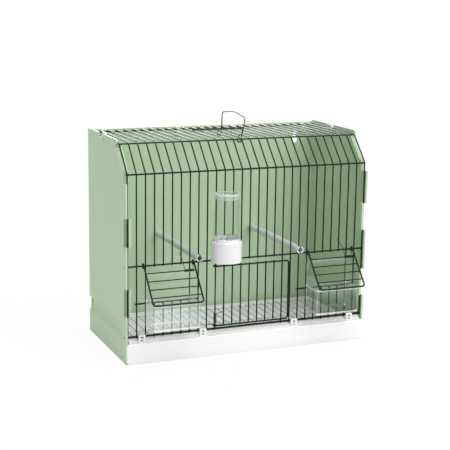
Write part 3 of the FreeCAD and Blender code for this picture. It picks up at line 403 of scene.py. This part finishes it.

# %% [markdown]
# ## Clear plastic
# Feeders and drinker tube are clear polystyrene. Full refraction would be truer, but light can't
# pass through it to the floor behind, and the thin walls would look dark. So the walls let light
# straight through where they are seen face on, and show a painted reflection where they are seen
# along their length: pale for the feeders in front of white, dark for the tube in front of green.
# Corners, rims and feet carry painted highlights, for the light that runs inside a clear wall and
# comes out at its edges.


# %% Clear plastic
FEEDER_SIDES = (0.0881, 0.1513)
FEEDER_ENDS = (-0.1195, -0.0850)
FEEDER_LIP, LIP_WIDTH = -0.1218, 0.0030
FEEDER_FLOOR, FLOOR_WIDTH = 0.0525, 0.0022
FEEDER_RIM, RIM_FADE, WALL_FADE = 0.0868, 0.002, 0.012
FEEDER_BAR = 0.1218
LEFT_FEEDER, RIGHT_FEEDER = -0.10, 0.10
TUBE_CROWN_CENTRE = (-0.0441, -0.1053, 0.2295)
TUBE_CROWN_RADIUS, CROWN_WIDTH = 0.0164, 0.0008
# The tube's ring of painted reflection lies just under the cup's rim.
CUP_RIM, CUP_GLINT_DROP, CUP_GLINT_WIDTH = 0.1670, 0.0030, 0.0070


def clear_wall(name, marks, reflection_tone):
    """Clear moulding. A function marks its painted highlights and its painted shade by the place on
    the part, and the third argument is the painted reflection that a wall shows where it is seen
    along its length."""
    finish = Finish(name)
    haze = finish.noise(45.0, 4.0)
    slant = finish.node("ShaderNodeLayerWeight", None, {"Blend": 0.35}, out="Facing")
    grazing = slant * slant
    grazing = grazing * grazing
    glints, shade = marks(finish)
    glints = glints * (haze * 0.9 + 0.45)
    # Painted shade darkens the painted reflection, and painted highlights turn the colour white and
    # less clear.
    reflection_tone = finish.blend(shade, reflection_tone, tone(0.12, 0.15, 0.11))
    held_back = finish.node("ShaderNodeLightPath", out="Is Shadow Ray") * 0.10
    return finish.surface(
        Base_Color=finish.blend(glints, reflection_tone, tone(0.94, 0.965, 0.96)),
        Roughness=haze * 0.06 + 0.03,
        Alpha=grazing * 0.50 + haze * 0.06 + glints * 0.75 + held_back + shade * 0.05 + 0.01,
        Specular_IOR_Level=0.8,
    )


def feeder_glints(finish):
    """Painted highlights: strong where floor and walls meet, less at the rim, faint at the corners
    and the bar. The left feeder stands before the white drawer, so its lower walls get a painted
    white reflection. Those of the right feeder get painted shade, for the shaded right panel they
    mirror."""
    place_across, depth, height = finish.axes()
    across = finish.size_of(place_across)
    sides = finish.near(across, FEEDER_SIDES[0]) + finish.near(across, FEEDER_SIDES[1])
    front, back = finish.near(depth, FEEDER_ENDS[0]), finish.near(depth, FEEDER_ENDS[1])
    ends = front + back
    lip = finish.near(depth, FEEDER_LIP, LIP_WIDTH)
    floor = finish.near(height, FEEDER_FLOOR, FLOOR_WIDTH)
    rim = finish.near(height, FEEDER_RIM)
    bar = finish.near(height, FEEDER_BAR)
    cup_sides = sides * finish.fade(height, FEEDER_RIM, FEEDER_RIM + RIM_FADE)
    # Painted white reflection on the left feeder's lower walls, painted shade on the right one's.
    leftward = finish.fade(place_across, LEFT_FEEDER, RIGHT_FEEDER)
    low_walls = finish.fade(height, FEEDER_RIM - WALL_FADE, FEEDER_RIM)
    painted_white_reflection, shade = leftward * low_walls, (1.0 - leftward) * low_walls
    floor_edges = floor * (front + (sides + back) * (leftward * 0.6 + 0.3))
    edges = floor_edges + (rim * 0.5 + bar * 0.25) * (sides + ends)
    corners = sides * ends * (low_walls * 0.14 + 0.20)
    return edges + corners + rim * lip * 0.45 + cup_sides * 0.18 + painted_white_reflection * 0.10, shade


def tube_glints(finish):
    """Painted highlights on the rounded edge of the crown, which all lies at one distance from the
    crown's centre, and a mottled painted reflection of the white cup in a ring at the cup's rim."""
    inputs = {0: finish.place, 1: TUBE_CROWN_CENTRE}
    away = finish.node("ShaderNodeVectorMath", {"operation": "DISTANCE"}, inputs, out="Value")
    # A mottled painted reflection of the white cup, in a ring just under its rim.
    cup_glint = finish.near(finish.axes()[2], CUP_RIM - CUP_GLINT_DROP, CUP_GLINT_WIDTH)
    sparkle = finish.noise(240.0, 1.0) * 6.4 - 1.4
    crown = finish.near(away, TUBE_CROWN_RADIUS, CROWN_WIDTH)
    return crown * 0.7 + cup_glint * sparkle, 0.0


# The last colour of each is its painted reflection: pale for the feeders, dark green for the tube.
CLEAR = clear_wall("clear_feeder", feeder_glints, tone(0.84, 0.90, 0.88))
CLEAR_TUBE = clear_wall("clear_tube", tube_glints, tone(0.20, 0.32, 0.21))

# %% [markdown]
# ## Grey perch tube
# The perches are drawn tube in a pale grey. Drawing leaves faint lines along the tube, which run
# from front to back here, and feet have made the gloss uneven.


# %% Grey perch plastic
def perch_plastic():
    finish = Finish("grey_plastic")
    lines = finish.noise(900.0, 2.0, (1.0, 0.03, 1.0))
    clouds = finish.noise(40.0, 2.0)
    shade = lines * 0.6 + clouds * 0.4
    body = finish.blend(shade, tone(0.60, 0.615, 0.605), tone(0.70, 0.71, 0.70))
    return finish.surface(
        Base_Color=body,
        Roughness=clouds * 0.15 + 0.33,
        Normal=finish.bump(lines, strength=0.2, distance=0.0002),
    )


GREY = perch_plastic()

# %% [markdown]
# ## Zinc and spring wire
# The floor grille is zinc-plated wire, which is dull grey with small crystals. The springs are
# dark oiled steel.


# %% Plain metals
def zinc_wire():
    finish = Finish("floor_wire")
    crystals = finish.noise(420.0, 3.0)
    clouds = finish.noise(60.0, 2.0)
    body = finish.blend(crystals, tone(0.50, 0.51, 0.515), tone(0.66, 0.67, 0.675))
    return finish.surface(
        Base_Color=body, Metallic=0.45, Roughness=clouds * 0.2 + 0.34,
        Normal=finish.bump(crystals, strength=0.1, distance=0.0001),
    )


def spring_wire():
    finish = Finish("spring_steel")
    clouds = finish.noise(300.0, 3.0)
    body = finish.blend(clouds, tone(0.012, 0.014, 0.012), tone(0.036, 0.038, 0.036))
    return finish.surface(Base_Color=body, Metallic=0.3, Roughness=clouds * 0.2 + 0.36)


ZINC = zinc_wire()
SPRING = spring_wire()
FINISHES = {
    "green_plastic": GREEN, "white_plastic": WHITE, "black_wire": BLACK, "clear_plastic": CLEAR,
    "grey_plastic": GREY, "floor_wire": ZINC, "spring_steel": SPRING,
}

# %% [markdown]
# ## From arrays to pieces
# A piece is worked out as whole arrays of points. Points that lie on a grid of rows and columns
# are joined by quads whose corner numbers are also worked out at once. Then doubled points are
# merged, which closes the ends, and the faces are turned to look outwards.


# %% Mesh helpers
SAME_PLACE = 1e-6


def grid_quads(count, rows, columns):
    """Corner numbers of the quads on count separate grids of rows by columns points, where each
    row closes on itself: point (r, c) is joined to (r, c+1), (r+1, c+1) and (r+1, c)."""
    row, column = np.meshgrid(np.arange(rows - 1), np.arange(columns), indexing="ij")
    beside = (column + 1) % columns
    here, above = row * columns, (row + 1) * columns
    corners = (here + column, here + beside, above + beside, above + column)
    one = np.stack(corners, axis=-1).reshape(-1, 4)
    offsets = np.arange(count) * rows * columns
    return (one[None] + offsets[:, None, None]).reshape(-1, 4)


def rework(mesh, step):
    """Merges the doubled points of a mesh, lets step change it further and shades it smooth."""
    work = bmesh.new()
    work.from_mesh(mesh)
    bmesh.ops.remove_doubles(work, verts=work.verts, dist=SAME_PLACE)
    step(work)
    work.to_mesh(mesh)
    work.free()
    mesh.shade_smooth()


def face_outwards(work):
    """Turns all faces of a closed mesh to look outwards."""
    bmesh.ops.recalc_face_normals(work, faces=work.faces)


def grid_mesh(name, points):
    """A smooth mesh from points in metres, an array of (grids, rows, columns, 3)."""
    quads = grid_quads(*points.shape[:3])
    mesh = bpy.data.meshes.new(name)
    mesh.vertices.add(points.size // 3)
    mesh.vertices.foreach_set("co", points.astype(np.float32).ravel())
    mesh.loops.add(quads.size)
    mesh.loops.foreach_set("vertex_index", quads.ravel().astype(np.int32))
    mesh.polygons.add(len(quads))
    mesh.polygons.foreach_set("loop_start", np.arange(len(quads), dtype=np.int32) * 4)
    mesh.update(calc_edges=True)
    rework(mesh, face_outwards)
    return mesh


def add_piece(name, mesh, slot, body, stands_for=(), finish=None):
    """Puts a mesh into the scene with its own or its slot's finish, on its body and in place of
    its nodes."""
    piece = bpy.data.objects.new(name, mesh)
    scene.collection.objects.link(piece)
    mesh.materials.clear()
    mesh.materials.append(finish or FINISHES[slot])
    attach(piece, body)
    if stands_for:
        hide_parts(*stands_for)
    print("piece", name, "with", len(mesh.polygons), "faces on", body)
    return piece


# %% [markdown]
# ## Bent wires
# Each upright wire is one rod: up the front, back along the slope and level over the top. The
# solids have three straight lengths that meet at the bends. Here one round section is carried
# along a path with true bends, and its ends are domed, as coated wire ends are. The wires are
# numbered from the left. Those between two numbers of a pair end at the mid rail, over the door
# or a feeder.

# %% Wire sizes
WIRE_PITCH = 12.6
WIRE_COUNT = 29
WIRE_RADIUS = 1.0
WIRE_PLANE = -83.0
BEND_HEIGHT = 258.4
TOP_HEIGHT = 296.0
SLOPE_BACK = -47.4
REAR_END = 83.4
FOOT = 34.7
MID_FOOT = 132.0
BEND_RADIUS = 5.0
DOOR_WIRES = (10, 18)
FEEDER_WIRES = ((2, 7), (21, 26))
wire_number = np.arange(WIRE_COUNT)
wire_x = WIRE_PITCH * (wire_number - WIRE_COUNT // 2)


def wires_between(first, last):
    """Marks the wires that lie between two others."""
    return (wire_number > first) & (wire_number < last)


over_door = wires_between(*DOOR_WIRES)
over_feeder = wires_between(*FEEDER_WIRES[0]) | wires_between(*FEEDER_WIRES[1])
wire_foot = np.where(over_door | over_feeder, MID_FOOT, FOOT)
print(WIRE_COUNT, "wires,", np.count_nonzero(wire_foot == MID_FOOT), "of them end at the mid rail")


# %% Bent wires
def bend_arc(corner, way_in, way_out, radius, steps=7):
    """Points on the arc of that radius which touches both straight runs at a corner: the centre
    lies on the halving line, at radius over the cosine of half the turn."""
    turn = math.acos(float(np.dot(way_in, way_out)))
    halving, along = unit(way_out - way_in), unit(way_in + way_out)
    centre = corner + halving * radius / math.cos(turn / 2)
    angle = np.linspace(-turn / 2, turn / 2, steps)[:, None]
    return centre + radius * (np.sin(angle) * along - np.cos(angle) * halving)


def dome(radius, steps=4):
    """A domed wire end: at angle a from the tip the ring lies radius * (1 - cos a) behind the tip
    and is radius * sin a wide."""
    angle = np.linspace(0.0, np.pi / 2, steps)
    return radius * (1 - np.cos(angle)), radius * np.sin(angle)


def wire_rings(x, centres, radii, sides=12):
    """Rings of wires that each lie in a plane of constant x: at each centre (y, z) of the path,
    a circle across the path. x is (wires), centres (wires, rings, 2) and radii (rings)."""
    way = np.gradient(centres, axis=1)
    way /= np.linalg.norm(way, axis=-1, keepdims=True)
    across = np.stack((-way[..., 1], way[..., 0]), axis=-1)
    angle = np.linspace(0.0, 2 * np.pi, sides, endpoint=False)
    side = radii[None, :, None] * np.cos(angle)
    out = (radii[None, :, None] * np.sin(angle))[..., None]
    yz = centres[:, :, None, :] + out * across[:, :, None, :]
    x_ring = np.broadcast_to(x[:, None, None] + side, yz.shape[:3])
    return np.concatenate((x_ring[..., None], yz), axis=-1) * MM


def bent_wires():
    """The rings of all wires. A path runs from the foot through a bend into the slope and a bend
    into the top to the rear end."""
    up, level = np.array((0.0, 1.0)), np.array((1.0, 0.0))
    slope = unit(np.array((SLOPE_BACK - WIRE_PLANE, TOP_HEIGHT - BEND_HEIGHT)))
    low_arc = bend_arc(np.array((WIRE_PLANE, BEND_HEIGHT)), up, slope, BEND_RADIUS)
    high_arc = bend_arc(np.array((SLOPE_BACK, TOP_HEIGHT)), slope, level, BEND_RADIUS)
    behind, wide = dome(WIRE_RADIUS)
    foot = np.stack(np.broadcast_arrays(WIRE_PLANE, wire_foot[:, None] + behind), axis=-1)
    rear = np.stack(np.broadcast_arrays(REAR_END - behind[::-1], TOP_HEIGHT), axis=-1)
    shared = np.concatenate((low_arc, high_arc, rear))
    centres = np.concatenate((foot, np.repeat(shared[None], WIRE_COUNT, axis=0)), axis=1)
    bends = np.full(len(low_arc) + len(high_arc), WIRE_RADIUS)
    return wire_rings(wire_x, centres, np.concatenate((wide, bends, wide[::-1])))


add_piece("bent_wires", grid_mesh("bent_wires", bent_wires()), "black_wire", "cage",
          ("front_wires", "slope_wires", "top_wires"))

# %% [markdown]
# ## Weld beads
# Where a wire crosses a rail the two are spot welded, and the black coat fills the corner. A
# small flattened ball at each crossing shows that. They are all one array: one ball times the
# list of crossings. The feeder rails and the handle bar cross only the wires between two numbers.

# %% Weld beads
RAIL_DROP = 2.16
RAIL_PLANE, BOTTOM_RAIL_PLANE = WIRE_PLANE + RAIL_DROP, -80.54
BOTTOM_RAIL, FEEDER_RAIL, MID_RAIL, BEND_RAIL = 36.2, 81.8, 133.5, 257.5
TOP_RAIL_BACK, HANDLE_BAR_BACK, REAR_RAIL_BACK = -46.5, 37.0, 82.0
FEEDER_RAIL_WIRES = ((0, 9), (19, 28))
HANDLE_BAR_WIRES = (10, 18)
BEAD_SIZE = np.array((1.6, 1.05, 1.6))


def ball(rows=5, columns=8):
    """A unit ball as (row, column) points: latitude by longitude."""
    latitude = np.linspace(-np.pi / 2, np.pi / 2, rows)[:, None]
    longitude = np.linspace(0.0, 2 * np.pi, columns, endpoint=False)[None]
    ring = np.cos(latitude)
    axes = (ring * np.cos(longitude), ring * np.sin(longitude), np.sin(latitude))
    return np.stack(np.broadcast_arrays(*axes), axis=-1)


def crossings(x, wire_yz, rail_yz):
    """Points halfway between the wires' axes at x and a rail's axis."""
    middle = (np.array(wire_yz) + np.array(rail_yz)) / 2
    return np.column_stack((x, np.repeat(middle[None], len(x), axis=0)))


def front_crossings(wires, height, rail_plane=RAIL_PLANE):
    """Crossings of the upright wires with a rail behind them."""
    return crossings(wire_x[wires], (WIRE_PLANE, height), (rail_plane, height))


def top_crossings(wires, back, rail_rise):
    """Crossings of the level wires with a rail that lies rail_rise above them."""
    return crossings(wire_x[wires], (back, TOP_HEIGHT), (back, TOP_HEIGHT + rail_rise))


def beads(centres, size):
    """One flattened ball of that size in mm round each centre."""
    return (centres[:, None, None, :] + ball()[None] * size) * MM


every_wire = wire_number >= 0
at_bottom = (wire_foot == FOOT) | over_feeder
at_feeder_rail = wires_between(*FEEDER_RAIL_WIRES[0]) | wires_between(*FEEDER_RAIL_WIRES[1])
upright_beads = np.concatenate((
    front_crossings(at_bottom, BOTTOM_RAIL, BOTTOM_RAIL_PLANE),
    front_crossings(at_feeder_rail, FEEDER_RAIL),
    front_crossings(every_wire, MID_RAIL),
    front_crossings(every_wire, BEND_RAIL),
))
level_beads = np.concatenate((
    top_crossings(every_wire, TOP_RAIL_BACK, -RAIL_DROP),
    top_crossings(every_wire, REAR_RAIL_BACK, -RAIL_DROP),
    top_crossings(wires_between(*HANDLE_BAR_WIRES), HANDLE_BAR_BACK, RAIL_DROP),
))
all_beads = (beads(upright_beads, BEAD_SIZE), beads(level_beads, BEAD_SIZE[[0, 2, 1]]))
add_piece("weld_beads", grid_mesh("weld_beads", np.concatenate(all_beads)), "black_wire", "cage")

# %% [markdown]
# ## Moulded edges
# The panels, the pan, the drawer, the feeders and the cup are injection moulded, so none of their
# edges is sharp. Their solids have the right shape with sharp edges. A copy of each solid's mesh
# is merged, its flat faces are joined, and a Bevel modifier rounds every edge by a fraction of
# the wall, which keeps the outside size.


# %% Softened copies of the moulded solids
FLAT_ANGLE, EDGE_ANGLE = math.radians(0.4), math.radians(25)
EDGE_SEGMENTS = 2
FACE_WEIGHT = 100
MOULDINGS = (
    ("left_side_panel", "green_plastic", "cage", 0.5),
    ("right_side_panel", "green_plastic", "cage", 0.5),
    ("back_panel", "green_plastic", "cage", 0.5),
    ("base_pan", "white_plastic", "cage", 0.3),
    ("drawer_tray", "white_plastic", "drawer", 0.6),
    ("left_feeder", "clear_plastic", "cage", 0.45),
    ("right_feeder", "clear_plastic", "cage", 0.45),
    ("drinker_cup", "white_plastic", "drinker", 0.5),
)


def join_flat_faces(work):
    """Joins neighbouring faces that lie in one plane."""
    bmesh.ops.dissolve_limit(work, angle_limit=FLAT_ANGLE, verts=work.verts, edges=work.edges)


def softened(node, slot, body, edge):
    """A copy of a node with edges rounded to that radius in mm, in place of the node."""
    mesh = nodes[node].data.copy()
    mesh.name = f"{node}_moulded"
    rework(mesh, join_flat_faces)
    piece = add_piece(f"{node}_moulded", mesh, slot, body, (node,))
    rounding = piece.modifiers.new("rounded_edges", "BEVEL")
    rounding.width = edge * MM
    rounding.segments = EDGE_SEGMENTS
    rounding.limit_method = "ANGLE"
    rounding.angle_limit = EDGE_ANGLE
    facing = piece.modifiers.new("flat_faces_first", "WEIGHTED_NORMAL")
    facing.mode = "FACE_AREA"
    facing.weight = FACE_WEIGHT


for moulding in MOULDINGS:
    softened(*moulding)

# %% [markdown]
# ## The drinker's tube
# The tube is a slightly tapered clear beaker that stands upside down in the cup. It is a lathe
# shape: one profile of radius and height, turned round the axis. The profile runs up the outside,
# over the rounded crown to the axis, and back down the inside.

# %% Drinker tube
TUBE_AXIS = (-44.1, -105.3)
TUBE_FOOT, TUBE_CROWN = 140.04, 231.04
TUBE_LOW_RADIUS, TUBE_TOP_RADIUS, TUBE_WALL = 19.0, 16.75, 1.3
CROWN_ROUND = 1.8


def lathe(profile, axis, sides=96):
    """Turns a profile of (radius, height) pairs round an upright axis: x = axis + r cos a."""
    angle = np.linspace(0.0, 2 * np.pi, sides, endpoint=False)[None]
    radius, height = profile[:, :1], profile[:, 1:]
    x = axis[0] + radius * np.cos(angle)
    y = axis[1] + radius * np.sin(angle)
    return np.stack(np.broadcast_arrays(x, y, height), axis=-1)[None] * MM


def arc(centre, radius, start, end, steps=6):
    """Points on an arc in the (radius, height) plane, from one angle to another in degrees."""
    angle = np.radians(np.linspace(start, end, steps))
    return np.column_stack((centre[0] + radius * np.cos(angle), centre[1] + radius * np.sin(angle)))


def tube_profile():
    """Round the foot, up the outside, over the crown to the axis and back down the inside."""
    foot_round = TUBE_WALL / 2
    foot_centre = (TUBE_LOW_RADIUS - foot_round, TUBE_FOOT + foot_round)
    foot = arc(foot_centre, foot_round, -180, 0, 9)
    outer = arc((TUBE_TOP_RADIUS - CROWN_ROUND, TUBE_CROWN - CROWN_ROUND), CROWN_ROUND, 0, 90)
    inner_round = CROWN_ROUND - TUBE_WALL / 2
    inner_crown = TUBE_CROWN - TUBE_WALL
    inner_centre = (TUBE_TOP_RADIUS - TUBE_WALL - inner_round, inner_crown - inner_round)
    inner = arc(inner_centre, inner_round, 90, 0)
    on_axis = np.array(((0.0, TUBE_CROWN), (0.0, inner_crown)))
    return np.concatenate((foot, outer, on_axis, inner, foot[:1]))


add_piece("drinker_beaker", grid_mesh("drinker_beaker", lathe(tube_profile(), TUBE_AXIS)),
          "clear_plastic", "drinker_tube", ("drinker_tube",), CLEAR_TUBE)

# %% [markdown]
# ## Finishes for the solids that stay
# Rails, frames, cross wires, springs, perches and the floor grille already have their full shape
# in the solids. Each takes the finish of its slot.

# %% Dress the remaining nodes
for part in frame["record"]["subparts"]:
    held = nodes[part["node"]].data.materials
    held.clear()
    held.append(FINISHES[part["material_slot"]])
